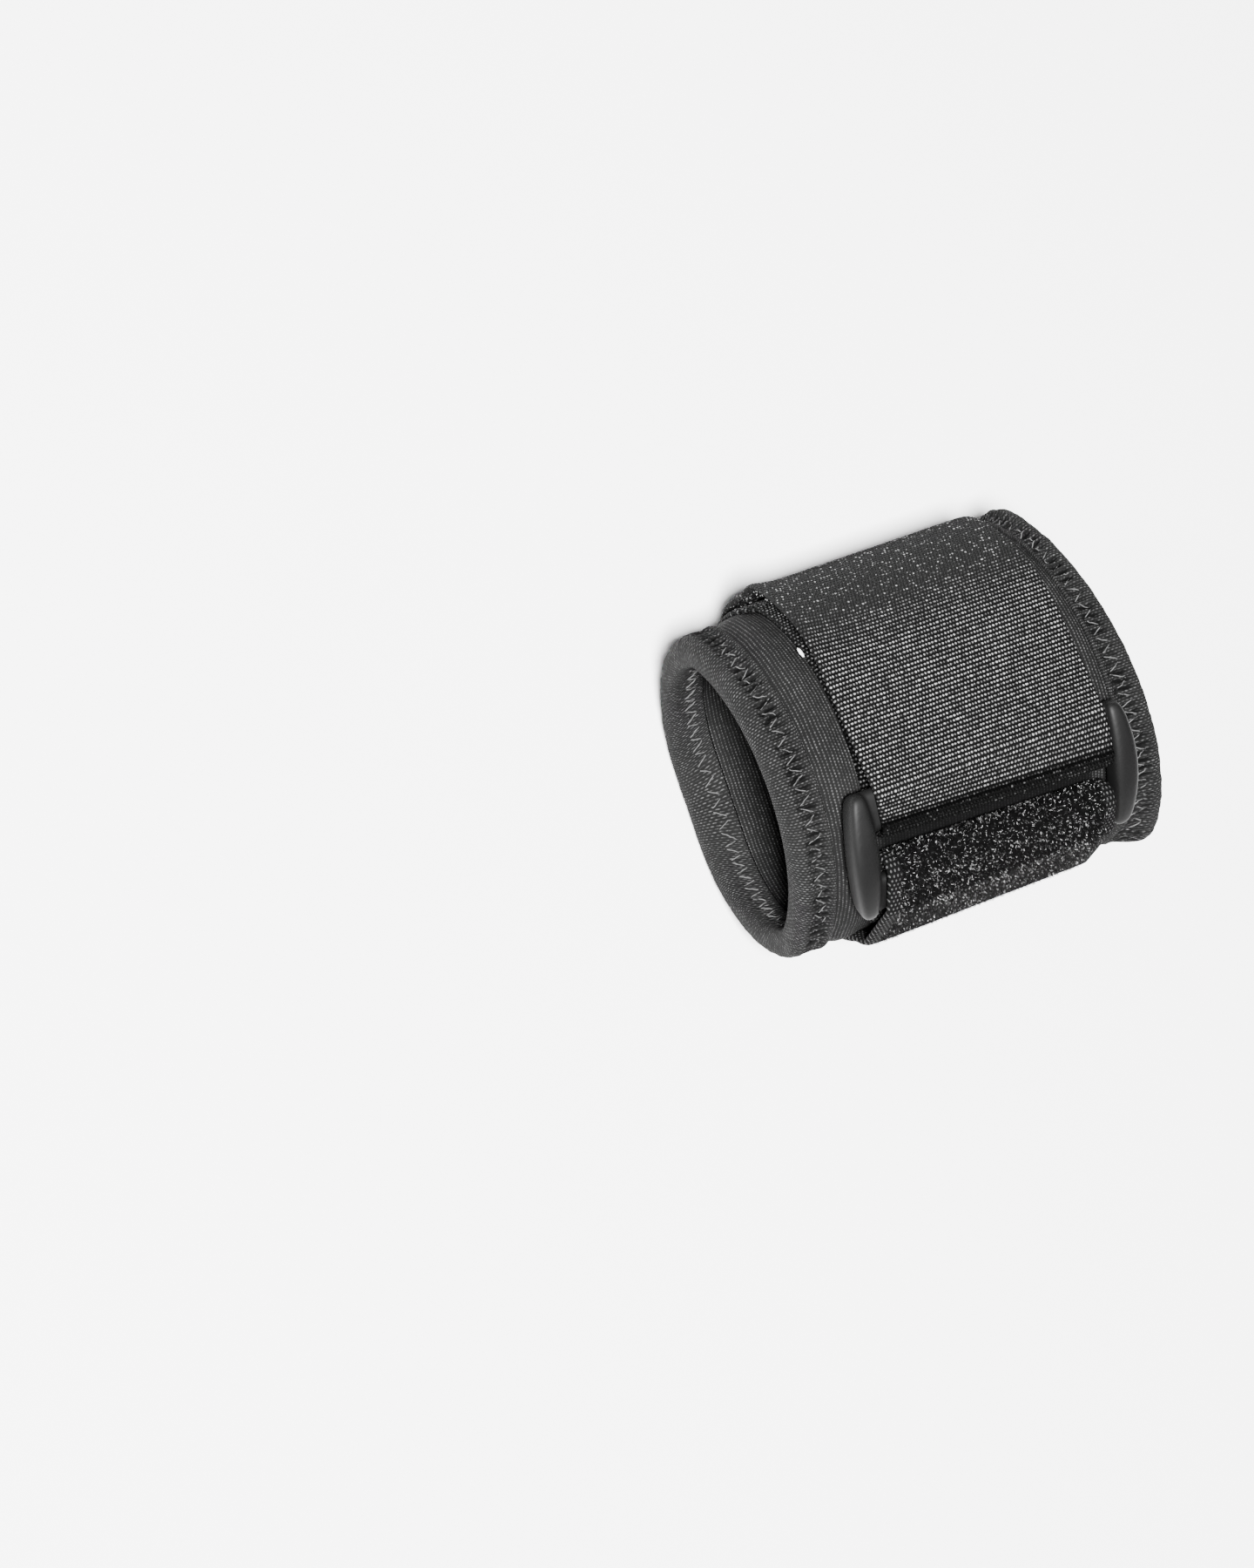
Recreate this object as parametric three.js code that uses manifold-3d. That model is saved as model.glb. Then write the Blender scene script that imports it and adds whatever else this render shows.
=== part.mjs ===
// Wrist wrap: a neoprene cuff with bound rims, pulled tight by a ribbed strap through a plastic ring.
// Millimetres, +Z up. +X runs along the arm to the forearm and +Y to the thumb side.
// The fastened cuff lies on its palm side, on the flat of the outer strap at z = 0.
import * as THREE from 'three';
import Module from 'manifold-3d';
import { mergeVertices } from 'three/addons/utils/BufferGeometryUtils.js';

const wasm = await Module();
wasm.setup();

// Sleeve
const strapWidth = 50.6;
const bandMargin = 13.7; // from each edge of the straps to the cuff's rim, were the straps in the middle
const bandWidth = strapWidth + 2 * bandMargin; // rim to rim, along the arm
const wristHalfWidth = 29.4; // inside, under the strap
const wristRise = 23.2; // inside, from the widest level up to the back of the hand
const wristDrop = 18; // inside, from the widest level down to the palm
const shoulderRadius = 10; // where the sides turn into the back of the hand
const sleeveWall = 3;
const rimSkew = 6; // degrees by which the forearm rim is cut off square
const fitGap = 0.3; // between any two pieces that touch
const floorGap = 0.4; // under the hanging rims

// Edge bindings
const bindingThickness = 0.8;
const bindingReach = 7.6; // from the rim to the raw edge
const rollBulge = 0.8; // how far the soft rim swells past the binding

// Straps
const strapOffset = 1.7; // the straps lie this far to the forearm side of the middle
const strapThickness = 1.3;
const pileThickness = 1.8;
const hookThickness = 0.8;
const hookInset = 1; // the hook patch is this much narrower at each edge
const pileDrift = -0.7; // the pile strap sits off the middle of the slot
const innerRunEnd = -66; // degrees round the wrist, from the thumb side up to the back of the hand
const outerRunEnd = -125;
const pileEnd = 290;
const pileUnderEnd = 150; // where the doubled end under the pile strap stops
const pileUnderEase = 32; // degrees past that end, where the run above has settled
const hookStart = 50;
const hookEnd = -122;
const liftHeight = 2.4; // the outer strap's hand-side edge stands off here
const liftWidth = 16;
const liftAngles = { starts: -2, full: 32, falls: 42, ends: 78 }; // degrees round the wrist
const layerEase = { starts: 2, ends: 22 }; // degrees past an end, where the run above settles
const foldSlack = 2.5; // how far each fold hangs into the slot at its looser edge

// Ring, bent to the curve of the wrist
const ringAngle = 117.8; // degrees round the wrist at the middle of the ring
const slotClearance = 1; // between each edge of the straps and the end bars
const slotLength = strapWidth + 2 * slotClearance;
const ringShift = -1; // the ring sits this far to the hand side of the straps
const slotWidth = 9.4;
const crossbarWidth = 8.3;
const crossbarThickness = 3;
const endBarWidth = 5.2;
const endBarBelow = 2.1; // under the middle of the crossbars
const endBarAbove = 3.2;
const endBarBow = 1.9; // how much narrower an end bar is at its ends
const endBarOverhang = 0.1; // past the crossbars
const handBarSwell = 0.7; // how far the hand-side end bar bellies into the slot
const forearmBarSwell = 0.25;
const barFullness = 0.55; // 1 is an ellipse across the end bar, and less is squarer
const endBluntness = 9; // how late the end bar starts to round off
const endRoundness = 1 / 3; // and how quickly it closes

// Layers, as distances out from the inside of the sleeve
const bindingOut = sleeveWall + fitGap + bindingThickness;
const firstLayer = sleeveWall + fitGap;
const overInnerRun = firstLayer + strapThickness + fitGap;
const overHook = overInnerRun + hookThickness + fitGap;
const overPile = firstLayer + pileThickness + fitGap;
const overPileAndHook = overPile + hookThickness + fitGap;
const palmStack = overPileAndHook + strapThickness;

const handRim = -bandWidth / 2;
const forearmRim = bandWidth / 2;
const strapHandEdge = strapOffset - strapWidth / 2;
const strapForearmEdge = strapOffset + strapWidth / 2;
const centreHeight = wristDrop + palmStack;
const hemDrop = centreHeight - bindingOut - rollBulge - floorGap;
const radian = Math.PI / 180;
const strapMargin = 1.8; // the cuff stays pulled in this far past the strap's edges
const fullTurn = 6;
const stepsInPart = [5, 14, 5, 8, 2, 8];

// Cross-sections along the arm, as shares of the wrist's half width, rise and hem drop.
const sections = [
  { at: handRim, halfWidth: 0.932, rise: 0.853, hem: 1, sideways: -0.015 },
  { at: handRim + bindingReach, halfWidth: 0.972, rise: 0.92, hem: 0.6, sideways: -0.01 },
  { at: strapHandEdge - strapMargin, halfWidth: 0.997, rise: 0.985, hem: 0, sideways: 0 },
  { at: strapOffset, halfWidth: 1, rise: 1, hem: 0, sideways: 0 },
  { at: strapForearmEdge + strapMargin, halfWidth: 1, rise: 1, hem: 0, sideways: 0 },
  { at: forearmRim, halfWidth: 1.07, rise: 0.945, hem: 1, sideways: 0 },
];

// A smooth reading of one column of a table, which never swings past the rows on either side.
function readTable(rows, column, at) {
  const last = rows.length - 1;
  let i = 0;
  while (i < last - 1 && at > rows[i + 1].at) i++;
  const slope = (j) => {
    const before = rows[Math.max(j - 1, 0)];
    const after = rows[Math.min(j + 1, last)];
    const turnsBack = (after[column] - rows[j][column]) * (rows[j][column] - before[column]) <= 0;
    if (turnsBack && j > 0 && j < last) return 0;
    return (after[column] - before[column]) / (after.at - before.at);
  };
  const span = rows[i + 1].at - rows[i].at;
  const t = THREE.MathUtils.clamp((at - rows[i].at) / span, 0, 1);
  const s = t * t * (3 - 2 * t);
  const bend = t * (1 - t) * span;
  const straight = rows[i][column] * (1 - s) + rows[i + 1][column] * s;
  return straight + bend * ((1 - t) * slope(i) - t * slope(i + 1));
}

// One cross-section: a wide crown between two shoulders, two heels and a flat palm.
function sectionAt(x) {
  const halfWidth = wristHalfWidth * readTable(sections, 'halfWidth', x);
  const rise = wristRise * readTable(sections, 'rise', x);
  const drop = THREE.MathUtils.lerp(wristDrop, hemDrop, readTable(sections, 'hem', x));
  const sideways = wristHalfWidth * readTable(sections, 'sideways', x);
  const reach = halfWidth - shoulderRadius;
  const lift = rise - shoulderRadius;
  const sink = (reach * reach - lift * lift) / (2 * lift);
  return { halfWidth, rise, drop, sideways, sink, shoulder: Math.atan2(sink, reach) };
}

// The six parts of the outline, counted from the thumb side over the back of the hand to the palm.
function outlinePart(section, part) {
  const { halfWidth, rise, drop, sink, shoulder } = section;
  const shoulderY = halfWidth - shoulderRadius;
  const heelY = halfWidth - drop;
  return [
    { y: [shoulderY, shoulderY], z: 0, radius: shoulderRadius, angle: [0, shoulder] },
    { y: [0, 0], z: -sink, radius: rise + sink, angle: [shoulder, Math.PI - shoulder] },
    { y: [-shoulderY, -shoulderY], z: 0, radius: shoulderRadius, angle: [Math.PI - shoulder, Math.PI] },
    { y: [-heelY, -heelY], z: 0, radius: drop, angle: [Math.PI, 1.5 * Math.PI] },
    { y: [-heelY, heelY], z: 0, radius: drop, angle: [1.5 * Math.PI, 1.5 * Math.PI] },
    { y: [heelY, heelY], z: 0, radius: drop, angle: [1.5 * Math.PI, 2 * Math.PI] },
  ][part];
}

// A point and its outward angle on the wrist, at a turn from 0 to 6 and a distance out.
function onWrist(x, turn, out) {
  const section = sectionAt(x);
  const round = THREE.MathUtils.euclideanModulo(turn, fullTurn);
  const part = Math.min(Math.floor(round), fullTurn - 1);
  const arc = outlinePart(section, part);
  const angle = THREE.MathUtils.lerp(arc.angle[0], arc.angle[1], round - part);
  const middle = THREE.MathUtils.lerp(arc.y[0], arc.y[1], round - part);
  const y = middle + (arc.radius + out) * Math.cos(angle) + section.sideways;
  const z = centreHeight + arc.z + (arc.radius + out) * Math.sin(angle);
  const skewShare = THREE.MathUtils.smootherstep(x, strapForearmEdge, forearmRim);
  const point = new THREE.Vector3(x - y * Math.tan(rimSkew * radian) * skewShare, y, z);
  return { point, angle };
}

// The turn at which the outline under the strap faces a given angle in degrees.
function turnAt(degrees) {
  const { shoulder } = sectionAt(strapOffset);
  const angle = THREE.MathUtils.euclideanModulo(degrees, 360) * radian;
  const cycle = fullTurn * Math.floor(degrees / 360);
  if (angle < shoulder) return cycle + angle / shoulder;
  if (angle < Math.PI - shoulder) return cycle + 1 + (angle - shoulder) / (Math.PI - 2 * shoulder);
  if (angle < Math.PI) return cycle + 2 + (angle - Math.PI + shoulder) / shoulder;
  if (angle < 1.5 * Math.PI) return cycle + 3 + (angle - Math.PI) / (0.5 * Math.PI);
  return cycle + 5 + (angle - 1.5 * Math.PI) / (0.5 * Math.PI);
}

const roundStations = stepsInPart.flatMap((steps, part) =>
  Array.from({ length: steps }, (_, i) => part + i / steps));

// The shared stations between two turns, with the two ends, in the order of travel.
function stationsBetween(from, to) {
  const low = Math.min(from, to);
  const high = Math.max(from, to);
  const margin = 0.03;
  const between = [-fullTurn, 0, fullTurn].flatMap((cycle) => roundStations.map((turn) => turn + cycle))
    .filter((turn) => turn > low + margin && turn < high - margin);
  const turns = [low, ...between, high];
  return from < to ? turns : turns.reverse();
}

// A closed solid through loops of points; a joined one meets its own start.
function loftLoops(loops, joined) {
  const count = loops[0].length;
  const index = [];
  const last = joined ? loops.length : loops.length - 1;
  for (let i = 0; i < last; i++) {
    const here = i * count;
    const next = ((i + 1) % loops.length) * count;
    for (let j = 0; j < count; j++) {
      const k = (j + 1) % count;
      index.push(here + j, next + k, next + j);
      index.push(here + j, here + k, next + k);
    }
  }
  if (!joined) {
    const end = (loops.length - 1) * count;
    for (let j = 0; j < count / 2 - 1; j++) {
      const k = count - 1 - j;
      index.push(j, k, k - 1, j, k - 1, j + 1);
      index.push(end + j, end + k - 1, end + k, end + j, end + j + 1, end + k - 1);
    }
  }
  const positions = loops.flat().flatMap((point) => point.toArray());
  const geometry = new THREE.BufferGeometry();
  geometry.setAttribute('position', new THREE.Float32BufferAttribute(positions, 3));
  geometry.setIndex(index);
  return geometry;
}

// Sleeve: one wall from rim to rim, ending inside the fold of each binding.
function sleeveGeometry() {
  const rimInset = bindingThickness + fitGap;
  const rows = [
    handRim + rimInset,
    handRim + bindingReach / 2,
    handRim + bindingReach,
    (handRim + bindingReach + strapHandEdge) / 2,
    strapHandEdge,
    strapOffset - strapWidth / 6,
    strapOffset + strapWidth / 6,
    strapForearmEdge,
    forearmRim - bindingReach,
    forearmRim - bindingReach / 2,
    forearmRim - rimInset,
  ];
  const loops = roundStations.map((turn) => [
    ...rows.map((x) => onWrist(x, turn, 0).point),
    ...rows.toReversed().map((x) => onWrist(x, turn, sleeveWall).point),
  ]);
  return loftLoops(loops, true);
}

// Binding: a strip folded over the rim, swollen to a soft roll at the fold.
const bindingProfile = [
  { inward: 1, out: 0 },
  { inward: 0.72, out: 0.12 },
  { inward: 0.48, out: 0.75 },
  { inward: 0.3, out: 1 },
  { inward: 0.14, out: 0.55 },
];

function bindingGeometry(rim, inwardSign) {
  const backFace = -fitGap - bindingThickness;
  const middle = (bindingOut + backFace) / 2;
  const half = (bindingOut - backFace) / 2;
  const nose = [0.62, 0, -0.62].map((share) => ({
    inward: bindingThickness * (1 - Math.sqrt(1 - share * share)),
    out: middle + half * share,
  }));
  const profile = [
    ...bindingProfile.map(({ inward, out }) => ({
      inward: inward * bindingReach,
      out: bindingOut + out * rollBulge,
    })),
    ...nose,
    { inward: bindingThickness, out: backFace + fitGap / 2 },
    { inward: bindingReach / 2, out: backFace },
    { inward: bindingReach, out: backFace },
    { inward: bindingReach, out: -fitGap },
    { inward: bindingReach / 2, out: -fitGap },
    { inward: bindingThickness, out: -fitGap },
    { inward: bindingThickness, out: sleeveWall + fitGap },
    { inward: bindingReach / 2, out: sleeveWall + fitGap },
    { inward: bindingReach, out: sleeveWall + fitGap },
  ];
  const order = inwardSign > 0 ? profile : profile.toReversed();
  const loops = roundStations.map((turn) => order.map(
    ({ inward, out }) => onWrist(rim + inwardSign * inward, turn, out).point,
  ));
  return loftLoops(loops, true);
}

// Ring frame: its middle over the wrist, and its bend about the middle of the crown.
const ringStandoff = overPile + crossbarThickness / 2;
const crownSection = sectionAt(strapOffset);
const crownMiddle = new THREE.Vector3(strapOffset, 0, centreHeight - crownSection.sink);
const ringBend = wristRise + crownSection.sink + ringStandoff;
const crossbarMiddle = (slotWidth + crossbarWidth) / 2;

function onCrown(degrees, radius) {
  const direction = new THREE.Vector3(0, Math.cos(degrees * radian), Math.sin(degrees * radian));
  return crownMiddle.clone().addScaledVector(direction, radius);
}

function toSolid(geometry) {
  geometry.deleteAttribute('normal');
  geometry.deleteAttribute('uv');
  const merged = mergeVertices(geometry, 1e-4);
  const mesh = new wasm.Mesh({
    numProp: 3,
    vertProperties: merged.attributes.position.array,
    triVerts: new Uint32Array(merged.index.array),
  });
  return new wasm.Manifold(mesh);
}

function crossbarGeometry(side) {
  const radius = crossbarThickness / 2;
  const halfFlat = (crossbarWidth - crossbarThickness) / 2;
  const shape = new THREE.Shape();
  shape.absarc(halfFlat, 0, radius, -Math.PI / 2, Math.PI / 2, false);
  shape.absarc(-halfFlat, 0, radius, Math.PI / 2, 1.5 * Math.PI, false);
  const length = slotLength + endBarWidth;
  const bar = new THREE.ExtrudeGeometry(shape, { depth: length, bevelEnabled: false, curveSegments: 6 });
  bar.translate(0, 0, -length / 2);
  bar.applyMatrix4(new THREE.Matrix4().makeBasis(
    new THREE.Vector3(0, 1, 0), new THREE.Vector3(0, 0, 1), new THREE.Vector3(1, 0, 0),
  ));
  const bend = side * crossbarMiddle / ringBend;
  bar.translate(0, 0, ringBend);
  bar.rotateX(bend);
  bar.translate(0, 0, -ringBend);
  return bar;
}

// An end bar, lofted along its bend: straight beside the slot, bowed outside and rounded at both ends.
function endBarGeometry(side) {
  const halfLength = slotWidth / 2 + crossbarWidth + endBarOverhang;
  const alongShares = [-0.99, -0.94, -0.84, -0.62, -0.32, 0, 0.32, 0.62, 0.84, 0.94, 0.99];
  const faceAngles = [10, 32, 52, 76, 104, 128, 148, 170];
  const height = (endBarBelow + endBarAbove) / 2;
  const swell = side > 0 ? forearmBarSwell : handBarSwell;
  const corner = (degrees, flip) => ({
    across: -Math.sign(Math.cos(degrees * radian)) * Math.abs(Math.cos(degrees * radian)) ** barFullness,
    up: flip * Math.sin(degrees * radian) ** barFullness,
  });
  const outline = [
    ...faceAngles.map((degrees) => corner(degrees, 1)),
    ...faceAngles.toReversed().map((degrees) => corner(degrees, -1)),
  ];
  const loops = alongShares.map((share) => {
    const width = endBarWidth - endBarBow * share * share;
    const taper = (1 - Math.abs(share) ** endBluntness) ** endRoundness;
    const bend = share * halfLength / ringBend;
    return outline.map(({ across, up }) => {
      const belly = Math.min(across, 0) * swell * (1 - share * share) ** 2;
      const x = slotLength / 2 + (width + across * width * taper) / 2 + belly;
      const radius = ringBend + (endBarAbove - endBarBelow) / 2 + up * height * taper;
      return new THREE.Vector3(side * x, -radius * Math.sin(bend), radius * Math.cos(bend) - ringBend);
    });
  });
  return loftLoops(side > 0 ? loops.toReversed() : loops, false);
}

function ringGeometry() {
  const solid = [crossbarGeometry(-1), crossbarGeometry(1), endBarGeometry(-1), endBarGeometry(1)]
    .map(toSolid)
    .reduce((sum, piece) => sum.add(piece));
  const { vertProperties, triVerts } = solid.getMesh();
  const geometry = new THREE.BufferGeometry();
  geometry.setAttribute('position', new THREE.BufferAttribute(vertProperties, 3));
  geometry.setIndex(new THREE.BufferAttribute(triVerts, 1));
  return geometry;
}

const foldSteps = 8; // round a crossbar
const bendSteps = 3; // off its outer edge
const spanSteps = 4; // along the straight run between the wrist and a fold

// A strap is a list of stations; each gives a point for a place across it and a height off its middle.
function runStation(turn, out, drift, facing) {
  return (across, height) => {
    const rise = typeof out === 'function' ? out(across, turn) : out;
    return onWrist(strapOffset + drift(turn) + across, turn, rise + facing * height).point;
  };
}

function foldStation(centre, radius, degrees, drift, slack) {
  const direction = new THREE.Vector3(0, Math.cos(degrees * radian), Math.sin(degrees * radian));
  return (across, height) => {
    const point = centre.clone().addScaledVector(direction, radius + height);
    if (slack) point.addScaledVector(slack.direction, foldSlack * (0.5 - slack.side * across / strapWidth));
    return point.setX(strapOffset + drift + across);
  };
}

function stationsAlong(from, to, steps) {
  return Array.from({ length: steps - 1 }, (_, i) => (across, height) =>
    from(across, height).lerp(to(across, height), (i + 1) / steps));
}

const searchReach = 70; // degrees
const searchHalvings = 40;

// The angle, on one side of the ring, where a run leaves the wrist in a straight line for a fold.
function leavingAngle(centre, foot, out, distance, side) {
  let near = foot;
  let far = foot + side * searchReach;
  for (let i = 0; i < searchHalvings; i++) {
    const middle = (near + far) / 2;
    const { point, angle } = onWrist(strapOffset, turnAt(middle), out);
    const clear = (point.y - centre.y) * Math.cos(angle) + (point.z - centre.z) * Math.sin(angle);
    if (clear < distance) near = middle;
    else far = middle;
  }
  return near;
}

// The bend round one crossbar, from the run under it to the run over it.
function foldOverBar(side, thickness, underDrift, overDrift, underOut, overOut) {
  const radius = crossbarThickness / 2 + fitGap + thickness / 2;
  const barAngle = ringAngle + side * crossbarMiddle / ringBend / radian;
  const roundWrist = onCrown(barAngle + 90, 1).sub(crownMiddle);
  const halfFlat = (crossbarWidth - crossbarThickness) / 2;
  const slotCentre = onCrown(barAngle, ringBend).addScaledVector(roundWrist, -side * halfFlat);
  const outerCentre = onCrown(barAngle, ringBend).addScaledVector(roundWrist, side * halfFlat);
  const footShift = halfFlat / ringBend / radian;
  const underAngle = leavingAngle(slotCentre, barAngle - side * footShift, underOut, -radius, side);
  const overAngle = leavingAngle(outerCentre, barAngle + side * footShift, overOut, radius, side);
  const slack = { side, direction: roundWrist.clone().multiplyScalar(-side) };
  const start = underAngle - side * 180;
  const stations = [];
  for (let i = 0; i <= foldSteps; i++) {
    const share = i / foldSteps;
    const drift = THREE.MathUtils.lerp(underDrift, overDrift, share);
    const degrees = THREE.MathUtils.lerp(start, barAngle, share);
    stations.push(foldStation(slotCentre, radius, degrees, drift, slack));
  }
  for (let i = 0; i <= bendSteps; i++) {
    const degrees = THREE.MathUtils.lerp(barAngle, overAngle, i / bendSteps);
    stations.push(foldStation(outerCentre, radius, degrees, overDrift));
  }
  return { stations, underTurn: turnAt(underAngle), overTurn: turnAt(overAngle) };
}

const edgeColumns = [-1, -0.86, -0.72, -0.58, -0.4, 0, 0.5, 1];
const plainColumns = [-1, -0.5, 0, 0.5, 1];

function strapGeometry(stations, width, thickness, columns) {
  const loops = stations.map((station) => [
    ...columns.map((share) => station(share * width / 2, thickness / 2)),
    ...columns.toReversed().map((share) => station(share * width / 2, -thickness / 2)),
  ]);
  return loftLoops(loops, false);
}

// How far the straps wander along the arm, at angles round the wrist.
function driftTable(rows) {
  const table = rows.map(({ degrees, drift }) => ({ at: turnAt(degrees), drift }));
  return (turn) => readTable(table, 'drift', turn);
}
const innerDrift = driftTable([
  { degrees: innerRunEnd, drift: -3 },
  { degrees: -8, drift: -3 },
  { degrees: 40, drift: 0.6 },
  { degrees: 80, drift: 0.2 },
  { degrees: ringAngle, drift: -0.6 },
]);
const outerDrift = driftTable([
  { degrees: outerRunEnd, drift: -1 },
  { degrees: 0, drift: 0 },
  { degrees: 90, drift: 0.1 },
  { degrees: ringAngle, drift: -0.3 },
]);

// The outer strap's underside: on the inner run, over the hook patch, then over pile and hook.
function outerRunUnderside(across, turn) {
  const settled = (end) => 1 - THREE.MathUtils.smoothstep(
    turn, turnAt(end + layerEase.starts), turnAt(end + layerEase.ends),
  );
  const hookShare = settled(hookStart);
  const pileShare = settled(innerRunEnd);
  const up = THREE.MathUtils.smoothstep(turn, turnAt(liftAngles.starts), turnAt(liftAngles.full));
  const down = 1 - THREE.MathUtils.smoothstep(turn, turnAt(liftAngles.falls), turnAt(liftAngles.ends));
  const fromEdge = Math.max(0, 1 - (across + strapWidth / 2) / liftWidth);
  return overInnerRun
    + hookShare * (overHook - overInnerRun)
    + pileShare * (overPileAndHook - overHook)
    + liftHeight * up * down * fromEdge * fromEdge;
}

// Ribbed strap: inner run on the sleeve, fold round the upper crossbar, outer run on top.
function ribbedStrapGeometry() {
  const innerOut = firstLayer + strapThickness / 2;
  const outerOut = (across, turn) => outerRunUnderside(across, turn) + strapThickness / 2;
  const fold = foldOverBar(
    -1, strapThickness, innerDrift(turnAt(ringAngle)), outerDrift(turnAt(ringAngle)),
    innerOut, overInnerRun + strapThickness / 2,
  );
  const inner = stationsBetween(turnAt(innerRunEnd), fold.underTurn)
    .map((turn) => runStation(turn, innerOut, innerDrift, -1));
  const outer = stationsBetween(fold.overTurn, turnAt(outerRunEnd))
    .map((turn) => runStation(turn, outerOut, outerDrift, 1));
  const stations = [
    ...inner,
    ...stationsAlong(inner.at(-1), fold.stations[0], spanSteps),
    ...fold.stations,
    ...stationsAlong(fold.stations.at(-1), outer[0], spanSteps),
    ...outer,
  ];
  return strapGeometry(stations, strapWidth, strapThickness, edgeColumns);
}

// Pile strap: sewn round the lower crossbar, doubled for a short way, then round to the palm.
function pileStrapGeometry() {
  const drift = () => pileDrift;
  const underOut = firstLayer + pileThickness / 2;
  const overOut = underOut + pileThickness + fitGap;
  const fold = foldOverBar(1, pileThickness, pileDrift, pileDrift, underOut, overOut);
  const topOut = (across, turn) => {
    const start = turnAt(pileUnderEnd + layerEase.starts);
    const eased = THREE.MathUtils.smoothstep(turn, start, turnAt(pileUnderEnd + pileUnderEase));
    return THREE.MathUtils.lerp(overOut, underOut, eased);
  };
  const top = stationsBetween(turnAt(pileEnd), fold.overTurn)
    .map((turn) => runStation(turn, topOut, drift, 1));
  const under = stationsBetween(fold.underTurn, turnAt(pileUnderEnd))
    .map((turn) => runStation(turn, underOut, drift, -1));
  const bend = fold.stations.toReversed();
  const stations = [
    ...top,
    ...stationsAlong(top.at(-1), bend[0], spanSteps),
    ...bend,
    ...stationsAlong(bend.at(-1), under[0], spanSteps),
    ...under,
  ];
  return strapGeometry(stations, strapWidth, pileThickness, plainColumns);
}

// Hook patch: sewn under the end of the outer strap, over the pile.
function hookPatchGeometry() {
  const out = (across, turn) => outerRunUnderside(across, turn) - fitGap - hookThickness / 2;
  const stations = stationsBetween(turnAt(hookStart), turnAt(hookEnd))
    .map((turn) => runStation(turn, out, outerDrift, 1));
  return strapGeometry(stations, strapWidth - 2 * hookInset, hookThickness, edgeColumns);
}

function addPiece(group, name, geometry, colour, roughness) {
  geometry.computeVertexNormals();
  const material = new THREE.MeshStandardMaterial({ color: colour, roughness, metalness: 0 });
  const mesh = new THREE.Mesh(geometry, material);
  mesh.name = name;
  group.add(mesh);
  return mesh;
}

const wrap = new THREE.Group();
addPiece(wrap, 'neoprene_sleeve', sleeveGeometry(), 0x2b2b2b, 0.9);
addPiece(wrap, 'hand_edge_binding', bindingGeometry(handRim, 1), 0x303030, 0.85);
addPiece(wrap, 'forearm_edge_binding', bindingGeometry(forearmRim, -1), 0x303030, 0.85);
addPiece(wrap, 'ribbed_strap', ribbedStrapGeometry(), 0x3a3a3a, 0.7);
addPiece(wrap, 'pile_strap', pileStrapGeometry(), 0x1c1c1c, 0.95);
addPiece(wrap, 'hook_patch', hookPatchGeometry(), 0x161616, 0.8);
const ring = addPiece(wrap, 'strap_ring', ringGeometry(), 0x464646, 0.45);
ring.position.copy(onCrown(ringAngle, ringBend)).setX(strapOffset + ringShift);
ring.rotation.x = (ringAngle - 90) * radian;

export default wrap;
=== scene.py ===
import math
from bisect import bisect_right
from functools import lru_cache

import bmesh
import bpy
from mathutils import Matrix, Vector, noise


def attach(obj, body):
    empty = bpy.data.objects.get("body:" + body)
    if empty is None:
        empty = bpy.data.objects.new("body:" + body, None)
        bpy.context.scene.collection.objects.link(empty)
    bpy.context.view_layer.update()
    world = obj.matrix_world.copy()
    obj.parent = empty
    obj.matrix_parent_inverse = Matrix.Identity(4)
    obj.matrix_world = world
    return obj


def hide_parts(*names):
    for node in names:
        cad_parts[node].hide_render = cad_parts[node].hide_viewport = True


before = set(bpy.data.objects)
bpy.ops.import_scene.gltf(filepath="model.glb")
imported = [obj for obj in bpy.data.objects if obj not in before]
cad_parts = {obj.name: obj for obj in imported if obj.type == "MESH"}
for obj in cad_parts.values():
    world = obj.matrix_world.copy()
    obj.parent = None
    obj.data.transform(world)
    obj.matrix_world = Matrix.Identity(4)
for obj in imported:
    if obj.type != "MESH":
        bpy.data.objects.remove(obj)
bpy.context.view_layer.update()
mm = 0.001

print("camera and lights")
camera = {
    "azimuth": -96.967,
    "elevation": 70.011,
    "roll": 77.639,
    "distance": 0.6976,
    "target": (-0.0592, 0.0095, 0.030),
    "lens": 85,
    "sensor": 36,
}


def pictureAxes(azimuth, elevation, roll):
    az, el, ro = (math.radians(angle) for angle in (azimuth, elevation, roll))
    ahead = Vector((-math.sin(az) * math.cos(el), math.cos(az) * math.cos(el), -math.sin(el)))
    level = Vector((math.cos(az), math.sin(az), 0))
    upright = level.cross(ahead)
    right = level * math.cos(ro) + upright * math.sin(ro)
    up = upright * math.cos(ro) - level * math.sin(ro)
    return right, up, ahead


right, up, ahead = pictureAxes(camera["azimuth"], camera["elevation"], camera["roll"])
lens = bpy.data.cameras.new("camera")
lens.lens = camera["lens"]
lens.sensor_width = camera["sensor"]
eye = bpy.data.objects.new("camera", lens)
eye.matrix_world = Matrix.Translation(Vector(camera["target"]) - ahead * camera["distance"]) @ Matrix(
    (
        (right.x, up.x, -ahead.x),
        (right.y, up.y, -ahead.y),
        (right.z, up.z, -ahead.z),
    )
).to_4x4()
bpy.context.scene.collection.objects.link(eye)
bpy.context.scene.camera = eye

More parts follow.
